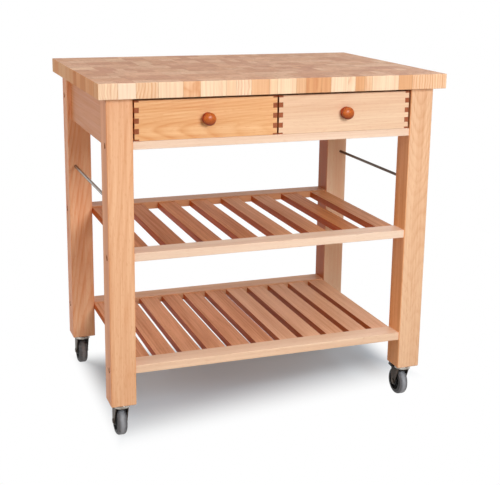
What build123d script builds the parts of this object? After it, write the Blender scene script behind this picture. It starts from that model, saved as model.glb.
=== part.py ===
from build123d import *
import os

os.makedirs("parts", exist_ok=True)

# Kitchen cart with an end-grain worktop, two finger-jointed drawers, two slatted
# shelves, two towel rods and four swivel castors. Millimetres, +Z up, front to -Y.
# The origin is on the floor, under the middle of the worktop.

# Worktop
top_length = 914.0
top_width = 622.0
top_thickness = 38.0
top_easing = 1.5

# Legs
leg_size = 64.0
leg_length = 777.0
side_overhang = 23.0
front_overhang = 25.0
leg_easing = 1.5

# Aprons between the legs
apron_thickness = 20.0
apron_recess = 11.0
tenon_length = 22.0
tenon_thickness = 10.0
tenon_shoulder = 15.0

# Drawer opening
drawer_head_gap = 8.0
drawer_side_gap = 4.5
drawer_centre_gap = 4.6
drawer_run_gap = 0.5

# Drawer boxes
front_height = 96.5
front_thickness = 16.0
side_thickness = 11.0
drawer_back_space = 37.0
finger_pitch = 25.3
bottom_thickness = 5.0
groove_depth = 5.0
groove_height = 8.0
panel_gap = 0.3

# Rails under the drawers and round the shelves
rail_depth = 55.0
rail_setback = 4.0
drawer_rail_thickness = 20.0
shelf_rail_thickness = 21.0
rail_easing = 1.5
upper_shelf_drop = 381.5
lower_shelf_drop = 673.5

# Slats
slat_width = 52.0
slat_thickness = 18.0
slat_drop = 3.0
slat_easing = 1.0
upper_slat_count = 8
lower_slat_count = 11
slat_tenon_length = 10.0
slat_tenon_width = 36.0
slat_tenon_thickness = 8.0

# Runners that carry the drawers
runner_width = 51.0
runner_guide_height = 24.0
runner_guide_gap = 1.0
centre_runner_width = 60.0
centre_fin_thickness = 2.6
centre_fin_height = 12.0
stop_thickness = 12.0
stop_gap = 0.3

# Towel rods
rod_diameter = 8.0
rod_inset = 19.0
rod_drop = 260.0
rod_seat = 15.0
rod_fit = 0.05

# Frame bolts and barrel nuts
bolt_diameter = 6.0
bolt_head_diameter = 13.0
bolt_head_height = 6.0
bolt_socket = 5.0
counterbore_diameter = 15.0
counterbore_depth = 14.0
bolt_grip = 26.0
bolt_overrun = 8.0
bolt_fit = 0.3
nut_diameter = 10.0
nut_length = 14.0

# Worktop screws, driven up through the aprons
screw_diameter = 5.0
screw_head_diameter = 9.0
screw_head_height = 3.0
screw_bite = 25.0
screw_grip = 60.0
screw_spacing = 150.0
screw_fit = 0.05

# Knobs
knob_diameter = 32.0
knob_base_diameter = 28.0
knob_neck_diameter = 18.0
knob_neck_back = 10.0
knob_projection = 27.0
knob_disc_thickness = 12.0
knob_rim_thickness = 3.0
knob_dome_drop = 1.6
knob_base_thickness = 4.0
knob_tenon_diameter = 10.0

# Castors
castor_height = 97.0
castor_trail = 20.0
wheel_diameter = 75.0
tyre_width = 25.0
tyre_thickness = 8.0
tyre_shoulder = 7.5
rim_width = 22.0
rim_thickness = 5.0
web_thickness = 10.0
hub_width = 28.0
hub_boss_radius = 12.0
hub_bore_gap = 0.1
axle_diameter = 8.0
axle_head_diameter = 12.0
axle_head_height = 1.8
fork_gap = 0.8
fork_plate = 2.5
cheek_eye_radius = 9.5
fork_front = 10.0
fork_back = 31.0
crown_diameter = 44.0
crown_height = 9.0
crown_easing = 3.0
stem_plate_diameter = 34.0
stem_plate_thickness = 3.0
stem_diameter = 10.0
stem_length = 38.0
swivel_gap = 0.5
swivel_fit = 0.1
rivet_diameter = 18.0
rivet_thickness = 2.5

# Brake pedals on the front castors
pedal_tip_width = 30.0
pedal_reach = 60.0
pedal_thickness = 3.0
pedal_start = 38.0
pedal_shoulder = 5.0
pedal_bend_start = 47.0
pedal_tip_rise = 5.0
pedal_gap = 0.6
pedal_ear = 2.5
pedal_eye_radius = 3.4
pedal_nose = 5.0
pedal_nose_radius = 2.6
pedal_pin_diameter = 4.0
pedal_pin_fit = 0.1
pedal_pin_back = 12.0
pedal_pin_drop = 4.5
shoe_width = 20.0
shoe_start = 27.0
shoe_gap = 1.4

# Places worked out from the sizes above
leg_x = top_length / 2 - side_overhang - leg_size / 2
leg_y = top_width / 2 - front_overhang - leg_size / 2
inner_x = leg_x - leg_size / 2
outer_x = leg_x + leg_size / 2
inner_y = leg_y - leg_size / 2
outer_y = leg_y + leg_size / 2
under_top = castor_height + leg_length
drawer_top = under_top - drawer_head_gap
drawer_low = drawer_top - front_height
drawer_rail_top = drawer_low - drawer_run_gap
frame_low = drawer_rail_top - drawer_rail_thickness
apron_height = under_top - frame_low
apron_x = outer_x - apron_recess - apron_thickness / 2
apron_y = outer_y - apron_recess - apron_thickness / 2
bolt_y = apron_y
rail_outer = outer_y - rail_setback
rail_inner = rail_outer - rail_depth
upper_shelf_top = under_top - upper_shelf_drop
lower_shelf_top = under_top - lower_shelf_drop
rod_x = outer_x - rod_inset
rod_z = under_top - rod_drop
upper_rail_mid = upper_shelf_top - shelf_rail_thickness / 2
lower_rail_mid = lower_shelf_top - shelf_rail_thickness / 2
drawer_rail_mid = drawer_rail_top - drawer_rail_thickness / 2
apron_mid = under_top - apron_height / 2
apron_inner_x = apron_x - apron_thickness / 2
apron_inner_y = apron_y - apron_thickness / 2

side_rows = [-screw_spacing, 0, screw_spacing]
back_rows = [-1.5 * screw_spacing, -0.5 * screw_spacing, 0.5 * screw_spacing, 1.5 * screw_spacing]
side_screws = [(side * apron_x, row) for side in (-1, 1) for row in side_rows]
back_screws = [(row, apron_y) for row in back_rows]
screw_places = side_screws + back_screws

# Drawer box places, with the front flush with the rail below it
drawer_y = -rail_outer
drawer_back_y = apron_inner_y - drawer_back_space
drawer_length = drawer_back_y - drawer_y
drawer_width = inner_x - drawer_side_gap - drawer_centre_gap / 2
drawer_x = drawer_centre_gap / 2 + drawer_width / 2
drawer_mid = (drawer_top + drawer_low) / 2
inside_width = drawer_width - 2 * side_thickness
finger_height = finger_pitch / 2
finger_count = 2 * int((front_height - finger_height) / 2 / finger_pitch + 0.5)
panel_y = drawer_y + front_thickness - groove_depth
panel_length = drawer_back_y - side_thickness + groove_depth - panel_y

# Castor places
wheel_radius = wheel_diameter / 2
crown_top = castor_height - stem_plate_thickness - swivel_gap
crown_low = crown_top - crown_height
rivet_top = crown_low - swivel_gap
pedal_pin_z = crown_low - pedal_pin_drop
cheek_x = hub_width / 2 + fork_gap
corners = {
    "front_left": (-1, -1),
    "front_right": (1, -1),
    "back_left": (-1, 1),
    "back_right": (1, 1),
}


def save(piece, name):
    piece.part.label = name
    export_step(piece.part, f"parts/{name}.step")


def save_group(name, *pieces):
    # Pieces that touch but stay separate solids of one node
    group = Compound(label=name, children=[piece.part for piece in pieces])
    export_step(group, f"parts/{name}.step")


def bolt_heights(end):
    # The front legs hold the drawer rail, the back legs the back apron.
    top_bolt = drawer_rail_mid if end < 0 else apron_mid
    return [top_bolt, upper_rail_mid, lower_rail_mid]


def slat_places(count):
    spacing = (2 * inner_x - slat_width) / (count - 1)
    return [-inner_x + slat_width / 2 + number * spacing for number in range(count)]


# The worktop is one glued panel of end-grain blocks.
with BuildPart() as worktop:
    with BuildSketch(Plane.XY.offset(under_top)):
        Rectangle(top_length, top_width)
    extrude(amount=top_thickness)
    fillet(worktop.edges(), top_easing)
    with BuildSketch(Plane.XY.offset(under_top)):
        with Locations(*screw_places):
            Circle(screw_diameter / 2 + screw_fit)
    extrude(amount=screw_bite, mode=Mode.SUBTRACT)
save(worktop, "worktop")


def make_leg(name, side, end):
    with BuildPart() as leg:
        with BuildSketch(Plane.XY.offset(castor_height)):
            with Locations((side * leg_x, end * leg_y)):
                Rectangle(leg_size, leg_size)
        extrude(amount=leg_length)
        chamfer(leg.edges().filter_by(Axis.Z), leg_easing)
        chamfer(leg.faces().sort_by(Axis.Z)[0].edges(), leg_easing)
        # Mortise for the side apron's tenon
        mortise = Plane((side * apron_x, end * inner_y, apron_mid), x_dir=(1, 0, 0), z_dir=(0, end, 0))
        with BuildSketch(mortise):
            Rectangle(tenon_thickness, apron_height - 2 * tenon_shoulder)
        extrude(amount=tenon_length, mode=Mode.SUBTRACT)
        # Seat of the towel rod
        with Locations(Plane((side * rod_x, end * inner_y, rod_z), z_dir=(0, -end, 0))):
            Hole(rod_diameter / 2 + rod_fit, depth=rod_seat)
        # Counterbored holes for the frame bolts
        for height in bolt_heights(end):
            with Locations(Plane((side * outer_x, end * bolt_y, height), z_dir=(side, 0, 0))):
                CounterBoreHole(
                    bolt_diameter / 2 + bolt_fit,
                    counterbore_diameter / 2,
                    counterbore_depth,
                    depth=leg_size,
                )
        # Socket of the castor stem
        with Locations(Plane((side * leg_x, end * leg_y, castor_height), z_dir=(0, 0, -1))):
            Hole(stem_diameter / 2 + bolt_fit, depth=stem_length)
    save(leg, name)


for corner, (side, end) in corners.items():
    make_leg(f"leg_{corner}", side, end)


def screw_drills(places):
    # Deep counterbores from below, so that short screws reach the worktop
    with BuildPart() as drills:
        with BuildSketch(Plane.XY.offset(frame_low)):
            with Locations(*places):
                Circle(screw_diameter / 2 + screw_fit)
        extrude(amount=apron_height)
        with BuildSketch(Plane.XY.offset(frame_low)):
            with Locations(*places):
                Circle(screw_head_diameter / 2 + bolt_fit)
        extrude(amount=apron_height - screw_grip)
    return drills.part


def make_side_apron(name, side):
    with BuildPart() as apron:
        with BuildSketch(Plane.XY.offset(frame_low)):
            with Locations((side * apron_x, 0)):
                Rectangle(apron_thickness, 2 * inner_y)
        extrude(amount=apron_height)
        fillet(apron.faces().sort_by(Axis.Z)[0].edges().filter_by(Axis.Y), rail_easing)
        with BuildSketch(Plane.XY.offset(frame_low + tenon_shoulder)):
            with Locations((side * apron_x, 0)):
                Rectangle(tenon_thickness, 2 * (inner_y + tenon_length))
        extrude(amount=apron_height - 2 * tenon_shoulder)
        add(screw_drills([(side * apron_x, row) for row in side_rows]), mode=Mode.SUBTRACT)
    save(apron, name)


make_side_apron("apron_left", -1)
make_side_apron("apron_right", 1)

with BuildPart() as apron_back:
    with BuildSketch(Plane.XY.offset(frame_low)):
        with Locations((0, apron_y)):
            Rectangle(2 * inner_x, apron_thickness)
    extrude(amount=apron_height)
    fillet(apron_back.faces().sort_by(Axis.Z)[0].edges().filter_by(Axis.X), rail_easing)
    add(screw_drills(back_screws), mode=Mode.SUBTRACT)
    for side in (-1, 1):
        with Locations(Plane((side * inner_x, bolt_y, apron_mid), z_dir=(side, 0, 0))):
            Hole(bolt_diameter / 2 + bolt_fit, depth=bolt_grip + bolt_overrun)
        with Locations(Plane((side * (inner_x - bolt_grip), apron_inner_y, apron_mid), z_dir=(0, -1, 0))):
            Hole(nut_diameter / 2 + rod_fit, depth=(apron_thickness + nut_length) / 2)
    # Mortise of the middle runner
    with BuildSketch(Plane((0, apron_inner_y, drawer_rail_mid), x_dir=(1, 0, 0), z_dir=(0, 1, 0))):
        Rectangle(slat_tenon_width, slat_tenon_thickness)
    extrude(amount=slat_tenon_length, mode=Mode.SUBTRACT)
save(apron_back, "apron_back")


def make_rail(name, end, top, thickness, mortises, mortise_mid):
    # A flat rail between two legs, with a row of mortises along its inner edge
    with BuildPart() as rail:
        with BuildSketch(Plane.XY.offset(top - thickness)):
            with Locations((0, end * (rail_outer + rail_inner) / 2)):
                Rectangle(2 * inner_x, rail_depth)
        extrude(amount=thickness)
        fillet(rail.edges().filter_by(Axis.X), rail_easing)
        with BuildSketch(Plane((0, end * rail_inner, mortise_mid), x_dir=(1, 0, 0), z_dir=(0, end, 0))):
            with Locations(*[(x, 0) for x in mortises]):
                Rectangle(slat_tenon_width, slat_tenon_thickness)
        extrude(amount=slat_tenon_length, mode=Mode.SUBTRACT)
        for side in (-1, 1):
            with Locations(Plane((side * inner_x, end * bolt_y, top - thickness / 2), z_dir=(side, 0, 0))):
                Hole(bolt_diameter / 2 + bolt_fit, depth=bolt_grip + bolt_overrun)
            nut_mouth = (side * (inner_x - bolt_grip), end * bolt_y, top - thickness)
            with Locations(Plane(nut_mouth, z_dir=(0, 0, -1))):
                Hole(nut_diameter / 2 + rod_fit, depth=(thickness + nut_length) / 2)
    save(rail, name)


make_rail("drawer_rail", -1, drawer_rail_top, drawer_rail_thickness, [0], drawer_rail_mid)


def make_slat(name, x, low):
    with BuildPart() as slat:
        with BuildSketch(Plane.XY.offset(low)):
            with Locations((x, 0)):
                Rectangle(slat_width, 2 * rail_inner)
        extrude(amount=slat_thickness)
        fillet(slat.edges().filter_by(Axis.Y), slat_easing)
        with BuildSketch(Plane.XY.offset(low + (slat_thickness - slat_tenon_thickness) / 2)):
            with Locations((x, 0)):
                Rectangle(slat_tenon_width, 2 * (rail_inner + slat_tenon_length))
        extrude(amount=slat_tenon_thickness)
    save(slat, name)


shelves = {
    "upper": (upper_shelf_top, upper_slat_count),
    "lower": (lower_shelf_top, lower_slat_count),
}
for shelf, (shelf_top, slat_count) in shelves.items():
    places = slat_places(slat_count)
    slat_low = shelf_top - slat_drop - slat_thickness
    slat_mid = slat_low + slat_thickness / 2
    make_rail(f"{shelf}_front_rail", -1, shelf_top, shelf_rail_thickness, places, slat_mid)
    make_rail(f"{shelf}_back_rail", 1, shelf_top, shelf_rail_thickness, places, slat_mid)
    for number, x in enumerate(places, start=1):
        make_slat(f"{shelf}_slat_{number}", x, slat_low)


def make_rod(name, side):
    with BuildPart() as rod:
        with BuildSketch(Plane((side * rod_x, -inner_y - rod_seat, rod_z), z_dir=(0, 1, 0))):
            Circle(rod_diameter / 2)
        extrude(amount=2 * (inner_y + rod_seat))
    save(rod, name)


make_rod("towel_rod_left", -1)
make_rod("towel_rod_right", 1)

# Runners: a batten with a guide on each side apron, and a tongued one with a thin fin
# between the drawers. The fin and the guides end in stops behind the closed drawers.
with BuildPart() as drawer_runners:
    runner_low = drawer_rail_top - drawer_rail_thickness
    guide_x = inner_x - drawer_side_gap + runner_guide_gap
    for side in (-1, 1):
        with BuildSketch(Plane.XY.offset(runner_low)):
            with Locations((side * (apron_inner_x - runner_width / 2), 0)):
                Rectangle(runner_width, 2 * inner_y)
        extrude(amount=drawer_rail_thickness)
        with BuildSketch(Plane.XY.offset(drawer_rail_top)):
            with Locations((side * (apron_inner_x + guide_x) / 2, 0)):
                Rectangle(apron_inner_x - guide_x, 2 * inner_y)
        extrude(amount=runner_guide_height)
    with BuildSketch(Plane.XY.offset(runner_low)):
        with Locations((0, (apron_inner_y - rail_inner) / 2)):
            Rectangle(centre_runner_width, apron_inner_y + rail_inner)
    extrude(amount=drawer_rail_thickness)
    with BuildSketch(Plane.XY.offset(drawer_rail_mid - slat_tenon_thickness / 2)):
        with Locations((0, (apron_inner_y - rail_inner) / 2)):
            Rectangle(slat_tenon_width, apron_inner_y + rail_inner + 2 * slat_tenon_length)
    extrude(amount=slat_tenon_thickness)
    with BuildSketch(Plane.XY.offset(drawer_rail_top)):
        with Locations((0, (apron_inner_y - rail_inner) / 2)):
            Rectangle(centre_fin_thickness, apron_inner_y + rail_inner)
        with Locations((0, drawer_back_y + stop_gap + stop_thickness / 2)):
            Rectangle(centre_runner_width, stop_thickness)
    extrude(amount=centre_fin_height)
save(drawer_runners, "drawer_runners")


def make_cross_board(name, mid_x, outer_y_place, inward, thickness, with_knob_hole):
    # A drawer front or back: its fingers run out past the sides' inner faces.
    face = Plane((mid_x, outer_y_place, drawer_mid), x_dir=(1, 0, 0), z_dir=(0, inward, 0))
    with BuildPart() as board:
        with BuildSketch(face):
            Rectangle(inside_width, front_height)
            with GridLocations(1, finger_pitch, 1, finger_count):
                Rectangle(drawer_width, finger_height)
        extrude(amount=thickness)
        groove_mid = drawer_low + groove_height + (bottom_thickness + panel_gap) / 2
        groove_start = (mid_x, outer_y_place + inward * thickness, groove_mid)
        groove = Plane(groove_start, x_dir=(1, 0, 0), z_dir=(0, -inward, 0))
        with BuildSketch(groove):
            Rectangle(inside_width + 2 * groove_depth, bottom_thickness + panel_gap)
        extrude(amount=groove_depth, mode=Mode.SUBTRACT)
        if with_knob_hole:
            with BuildSketch(face):
                Circle(knob_tenon_diameter / 2 + rod_fit)
            extrude(amount=thickness, mode=Mode.SUBTRACT)
    save(board, name)


def make_side_board(name, mid_x, inward):
    # A drawer side: slots at both ends take the fingers of the front and the back.
    with BuildPart() as board:
        with BuildSketch(Plane.XY.offset(drawer_low)):
            with Locations((mid_x, (drawer_y + drawer_back_y) / 2)):
                Rectangle(side_thickness, drawer_length)
        extrude(amount=front_height)
        with BuildSketch(Plane.YZ.offset(mid_x)):
            with Locations((drawer_y + front_thickness / 2, drawer_mid)):
                with GridLocations(1, finger_pitch, 1, finger_count):
                    Rectangle(front_thickness, finger_height)
            with Locations((drawer_back_y - side_thickness / 2, drawer_mid)):
                with GridLocations(1, finger_pitch, 1, finger_count):
                    Rectangle(side_thickness, finger_height)
        extrude(amount=side_thickness / 2, both=True, mode=Mode.SUBTRACT)
        # Groove for the bottom, along the inner face
        with BuildSketch(Plane.XY.offset(drawer_low + groove_height)):
            groove_x = mid_x + inward * (side_thickness - groove_depth) / 2
            with Locations((groove_x, panel_y + panel_length / 2)):
                Rectangle(groove_depth, panel_length)
        extrude(amount=bottom_thickness + panel_gap, mode=Mode.SUBTRACT)
    save(board, name)


def make_drawer_bottom(name, mid_x):
    with BuildPart() as panel:
        with BuildSketch(Plane.XY.offset(drawer_low + groove_height)):
            with Locations((mid_x, panel_y + panel_length / 2)):
                Rectangle(inside_width + 2 * (groove_depth - panel_gap), panel_length - 2 * panel_gap)
        extrude(amount=bottom_thickness)
    save(panel, name)


def make_knob(name, mid_x):
    # Turned knob: a tenon in the drawer front, a flared base, a waist and a domed disc
    tenon = knob_tenon_diameter / 2
    base = knob_base_diameter / 2
    neck = knob_neck_diameter / 2
    disc = knob_diameter / 2
    neck_y = -knob_neck_back
    disc_back = knob_disc_thickness - knob_projection
    disc_mid = disc_back - knob_rim_thickness
    with BuildPart() as knob:
        with BuildSketch(Plane((mid_x, drawer_y, drawer_mid), x_dir=(1, 0, 0), z_dir=(0, 0, 1))):
            with BuildLine():
                Line((0, -knob_projection), (0, front_thickness))
                Polyline((0, front_thickness), (tenon, front_thickness), (tenon, 0), (base, 0))
                Line((base, 0), (base, -knob_base_thickness))
                Spline((base, -knob_base_thickness), (neck, neck_y), (disc - knob_rim_thickness, disc_back))
                ThreePointArc(
                    (disc - knob_rim_thickness, disc_back),
                    (disc, (disc_back + disc_mid) / 2),
                    (disc - knob_rim_thickness, disc_mid),
                )
                Spline(
                    (disc - knob_rim_thickness, disc_mid),
                    (disc / 2, -knob_projection + knob_dome_drop),
                    (0, -knob_projection),
                    tangents=[(-1, -0.8), (-1, 0)],
                )
            make_face()
        revolve(axis=Axis((mid_x, drawer_y, drawer_mid), (0, 1, 0)))
    save(knob, name)


for drawer, side in {"drawer_left": -1, "drawer_right": 1}.items():
    mid_x = side * drawer_x
    side_shift = (drawer_width - side_thickness) / 2
    make_cross_board(f"{drawer}_front", mid_x, drawer_y, 1, front_thickness, True)
    make_cross_board(f"{drawer}_back", mid_x, drawer_back_y, -1, side_thickness, False)
    make_side_board(f"{drawer}_outer_side", mid_x + side * side_shift, -side)
    make_side_board(f"{drawer}_inner_side", mid_x - side * side_shift, side)
    make_drawer_bottom(f"{drawer}_bottom", mid_x)
    make_knob(f"{drawer}_knob", mid_x)

# Frame bolts with socket heads
with BuildPart() as frame_bolts:
    bolt_length = leg_size - counterbore_depth + bolt_grip + bolt_overrun
    for side, end in corners.values():
        for height in bolt_heights(end):
            seat_middle = (side * (outer_x - counterbore_depth), end * bolt_y, height)
            seat = Plane(seat_middle, x_dir=(0, 1, 0), z_dir=(side, 0, 0))
            with BuildSketch(seat):
                Circle(bolt_head_diameter / 2)
            extrude(amount=bolt_head_height)
            with BuildSketch(seat.offset(bolt_head_height)):
                RegularPolygon(bolt_socket / 2, 6, major_radius=False)
            extrude(amount=-bolt_head_height / 2, mode=Mode.SUBTRACT)
            with BuildSketch(seat):
                Circle(bolt_diameter / 2)
            extrude(amount=-bolt_length)


def nut_axes():
    # A bolt's barrel nut stands upright in the rails, and lies across the back apron.
    axes = []
    for side, end in corners.values():
        for height in bolt_heights(end):
            upright = height != apron_mid
            z_dir = (0, 0, 1) if upright else (0, 1, 0)
            middle = (side * (inner_x - bolt_grip), end * bolt_y, height)
            axes.append(Plane(middle, x_dir=(1, 0, 0), z_dir=z_dir))
    return axes


with BuildPart() as barrel_nuts:
    for axis in nut_axes():
        with BuildSketch(axis):
            Circle(nut_diameter / 2)
        extrude(amount=nut_length / 2, both=True)
        with BuildSketch(Plane(axis.origin, z_dir=(1, 0, 0))):
            Circle(bolt_diameter / 2 + rod_fit)
        extrude(amount=nut_diameter, both=True, mode=Mode.SUBTRACT)
save_group("frame_bolts", frame_bolts, barrel_nuts)

# Countersunk screws that hold the worktop down
with BuildPart() as worktop_screws:
    head_z = under_top - screw_grip - screw_head_height
    with BuildSketch(Plane.XY.offset(head_z)):
        with Locations(*screw_places):
            Circle(screw_head_diameter / 2)
    extrude(amount=screw_head_height)
    with BuildSketch(Plane.XY.offset(head_z + screw_head_height)):
        with Locations(*screw_places):
            Circle(screw_diameter / 2)
    extrude(amount=screw_grip + screw_bite)
save(worktop_screws, "worktop_screws")

# Castor stems: a threaded stem up into the leg, a plate under it and a king pin
with BuildPart() as castor_stems:
    rivet_low = rivet_top - rivet_thickness
    stem_places = [(side * leg_x, end * leg_y) for side, end in corners.values()]
    with BuildSketch(Plane.XY.offset(rivet_low)):
        with Locations(*stem_places):
            Circle(stem_diameter / 2)
    extrude(amount=castor_height + stem_length - rivet_low)
    with BuildSketch(Plane.XY.offset(castor_height - stem_plate_thickness)):
        with Locations(*stem_places):
            Circle(stem_plate_diameter / 2)
    extrude(amount=stem_plate_thickness)
    with BuildSketch(Plane.XY.offset(rivet_low)):
        with Locations(*stem_places):
            Circle(rivet_diameter / 2)
    extrude(amount=rivet_thickness)
save(castor_stems, "castor_stems")


def make_fork(name, x, y, with_pedal):
    # Swivel fork: a domed crown and two tapering cheeks, with the axle rivet through them
    axle = Plane((x, y + castor_trail, wheel_radius), x_dir=(0, 1, 0), z_dir=(1, 0, 0))
    with BuildPart() as fork:
        with BuildSketch(Plane.XY.offset(crown_low)):
            with Locations((x, y)):
                Circle(crown_diameter / 2)
        extrude(amount=crown_height)
        fillet(fork.faces().sort_by(Axis.Z)[-1].edges(), crown_easing)
        for hand in (-1, 1):
            with BuildSketch(Plane.YZ.offset(x + hand * (cheek_x + fork_plate / 2))):
                with Locations((y + castor_trail, wheel_radius)):
                    Circle(cheek_eye_radius)
                with Locations((y - fork_front, crown_low)):
                    Rectangle(fork_front + fork_back, fork_plate, align=(Align.MIN, Align.MIN))
                make_hull()
            extrude(amount=fork_plate / 2, both=True)
        # Plate that joins the cheeks over the wheel
        with BuildSketch(Plane.XY.offset(crown_low)):
            with Locations((x, y - fork_front)):
                Rectangle(
                    2 * (cheek_x + fork_plate),
                    fork_front + fork_back,
                    align=(Align.CENTER, Align.MIN),
                )
        extrude(amount=fork_plate)
        with BuildSketch(Plane.XY.offset(crown_low)):
            with Locations((x, y)):
                Circle(stem_diameter / 2 + swivel_fit)
        extrude(amount=crown_height, mode=Mode.SUBTRACT)
        with BuildSketch(axle):
            Circle(axle_diameter / 2 + rod_fit)
        extrude(amount=cheek_x + fork_plate, both=True, mode=Mode.SUBTRACT)
        if with_pedal:
            with BuildSketch(Plane.YZ.offset(x)):
                with Locations((y + pedal_pin_back, pedal_pin_z)):
                    Circle(pedal_pin_diameter / 2 + pedal_pin_fit)
            extrude(amount=cheek_x + fork_plate, both=True, mode=Mode.SUBTRACT)
    with BuildPart() as axle_rivet:
        with BuildSketch(axle):
            Circle(axle_diameter / 2)
        extrude(amount=cheek_x + fork_plate, both=True)
        for hand in (-1, 1):
            with BuildSketch(axle.offset(hand * (cheek_x + fork_plate))):
                Circle(axle_head_diameter / 2)
            extrude(amount=hand * axle_head_height)
    save_group(name, fork, axle_rivet)


def make_wheel(name, x, y):
    # A moulded hub that turns on the axle rivet, and the tyre round its rim
    section = Plane((x, y, wheel_radius), x_dir=(0, 0, 1), z_dir=(0, 1, 0))
    turning = Axis((x, y, wheel_radius), (1, 0, 0))
    bore = axle_diameter / 2 + hub_bore_gap
    rim = wheel_radius - tyre_thickness
    with BuildPart() as hub:
        with BuildSketch(section):
            with Locations((bore, 0)):
                Rectangle(hub_boss_radius - bore, hub_width, align=(Align.MIN, Align.CENTER))
                Rectangle(rim - bore, web_thickness, align=(Align.MIN, Align.CENTER))
            with Locations((rim, 0)):
                Rectangle(rim_thickness, rim_width, align=(Align.MAX, Align.CENTER))
        revolve(axis=turning)
    with BuildPart() as tyre:
        with BuildSketch(section) as tread:
            with Locations((rim, 0)):
                Rectangle(tyre_thickness, tyre_width, align=(Align.MIN, Align.CENTER))
            fillet(tread.vertices().group_by(Axis.X)[-1], tyre_shoulder)
        revolve(axis=turning)
    save_group(name, hub, tyre)


def make_pedal(name, x, y):
    # Foot pedal with two ears on a pin through the fork, and a shoe over the tyre
    ear_x = cheek_x + fork_plate + pedal_gap
    pedal_top = pedal_pin_z + pedal_thickness
    bend_middle = (pedal_bend_start + pedal_reach) / 2
    bend_sag = pedal_tip_rise / 3
    with BuildPart() as pedal:
        # The plate from the side: level at first, then turned up towards the tip
        with BuildSketch(Plane.YZ.offset(x)):
            with BuildLine():
                Line((y + pedal_bend_start, pedal_pin_z), (y + pedal_start, pedal_pin_z))
                Line((y + pedal_start, pedal_pin_z), (y + pedal_start, pedal_top))
                Line((y + pedal_start, pedal_top), (y + pedal_bend_start, pedal_top))
                ThreePointArc(
                    (y + pedal_bend_start, pedal_top),
                    (y + bend_middle, pedal_top + bend_sag),
                    (y + pedal_reach, pedal_top + pedal_tip_rise),
                )
                Line(
                    (y + pedal_reach, pedal_top + pedal_tip_rise),
                    (y + pedal_reach, pedal_pin_z + pedal_tip_rise),
                )
                ThreePointArc(
                    (y + pedal_reach, pedal_pin_z + pedal_tip_rise),
                    (y + bend_middle, pedal_pin_z + bend_sag),
                    (y + pedal_bend_start, pedal_pin_z),
                )
            make_face()
        extrude(amount=ear_x + pedal_ear, both=True)
        # and from above: as wide as the ears, with a rounded tip
        with BuildSketch(Plane.XY.offset(pedal_pin_z)):
            with Locations((x, y + pedal_start)):
                Rectangle(2 * (ear_x + pedal_ear), pedal_shoulder, align=(Align.CENTER, Align.MIN))
            with Locations((x, y + pedal_reach - pedal_tip_width / 2)):
                Circle(pedal_tip_width / 2)
            make_hull()
        extrude(amount=pedal_thickness + pedal_tip_rise, mode=Mode.INTERSECT)
        for hand in (-1, 1):
            with BuildSketch(Plane.YZ.offset(x + hand * (ear_x + pedal_ear / 2))):
                with Locations((y + pedal_pin_back, pedal_pin_z)):
                    Circle(pedal_eye_radius)
                with Locations((y + pedal_nose + pedal_nose_radius, pedal_pin_z)):
                    Circle(pedal_nose_radius)
                with Locations((y + pedal_start, pedal_pin_z)):
                    Rectangle(pedal_shoulder, pedal_thickness, align=(Align.MIN, Align.MIN))
                make_hull()
            extrude(amount=pedal_ear / 2, both=True)
        # Shoe that comes down on the tyre
        with BuildSketch(Plane.XY.offset(wheel_diameter + shoe_gap)):
            with Locations((x, y + shoe_start)):
                Rectangle(
                    shoe_width,
                    pedal_start + pedal_shoulder - shoe_start,
                    align=(Align.CENTER, Align.MIN),
                )
        extrude(amount=pedal_top - wheel_diameter - shoe_gap)
        with BuildSketch(Plane.YZ.offset(x)):
            with Locations((y + pedal_pin_back, pedal_pin_z)):
                Circle(pedal_pin_diameter / 2 + rod_fit)
        extrude(amount=ear_x + pedal_ear, both=True, mode=Mode.SUBTRACT)
    with BuildPart() as pin:
        with BuildSketch(Plane.YZ.offset(x)):
            with Locations((y + pedal_pin_back, pedal_pin_z)):
                Circle(pedal_pin_diameter / 2)
        extrude(amount=ear_x + pedal_ear, both=True)
    save_group(name, pedal, pin)


for corner, (side, end) in corners.items():
    x, y = side * leg_x, end * leg_y
    make_fork(f"castor_{corner}_fork", x, y, end < 0)
    make_wheel(f"castor_{corner}_wheel", x, y + castor_trail)
    if end < 0:
        make_pedal(f"brake_pedal_{corner}", x, y)
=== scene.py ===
import math
from functools import partial

import bmesh
import bpy
import numpy as np
from mathutils import Matrix, Vector


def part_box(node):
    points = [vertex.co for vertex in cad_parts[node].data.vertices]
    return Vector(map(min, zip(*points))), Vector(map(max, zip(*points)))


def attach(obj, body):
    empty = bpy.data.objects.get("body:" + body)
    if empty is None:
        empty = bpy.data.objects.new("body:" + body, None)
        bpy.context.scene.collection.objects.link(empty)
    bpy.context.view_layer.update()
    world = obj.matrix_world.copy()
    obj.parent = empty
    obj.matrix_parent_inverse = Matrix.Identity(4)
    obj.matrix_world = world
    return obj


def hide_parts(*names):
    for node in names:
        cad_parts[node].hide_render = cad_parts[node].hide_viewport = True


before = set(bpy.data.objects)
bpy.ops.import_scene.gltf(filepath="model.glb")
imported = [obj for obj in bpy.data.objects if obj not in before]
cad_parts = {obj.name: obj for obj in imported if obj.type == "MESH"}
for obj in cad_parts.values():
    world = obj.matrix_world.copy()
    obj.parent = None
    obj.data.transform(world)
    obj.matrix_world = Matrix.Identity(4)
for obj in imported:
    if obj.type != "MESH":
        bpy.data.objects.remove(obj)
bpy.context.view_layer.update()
scene = bpy.context.scene
print("frame loaded")

picture = {"width": 500, "height": 485}


def hexColour(text):
    # sRGB hex to linear, with alpha 1
    channels = [int(text[i:i + 2], 16) / 255 for i in (1, 3, 5)]
    linear = [c / 12.92 if c <= 0.04045 else ((c + 0.055) / 1.055) ** 2.4 for c in channels]
    return (*linear, 1.0)


def grey(level):
    return (level, level, level, 1.0)


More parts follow.
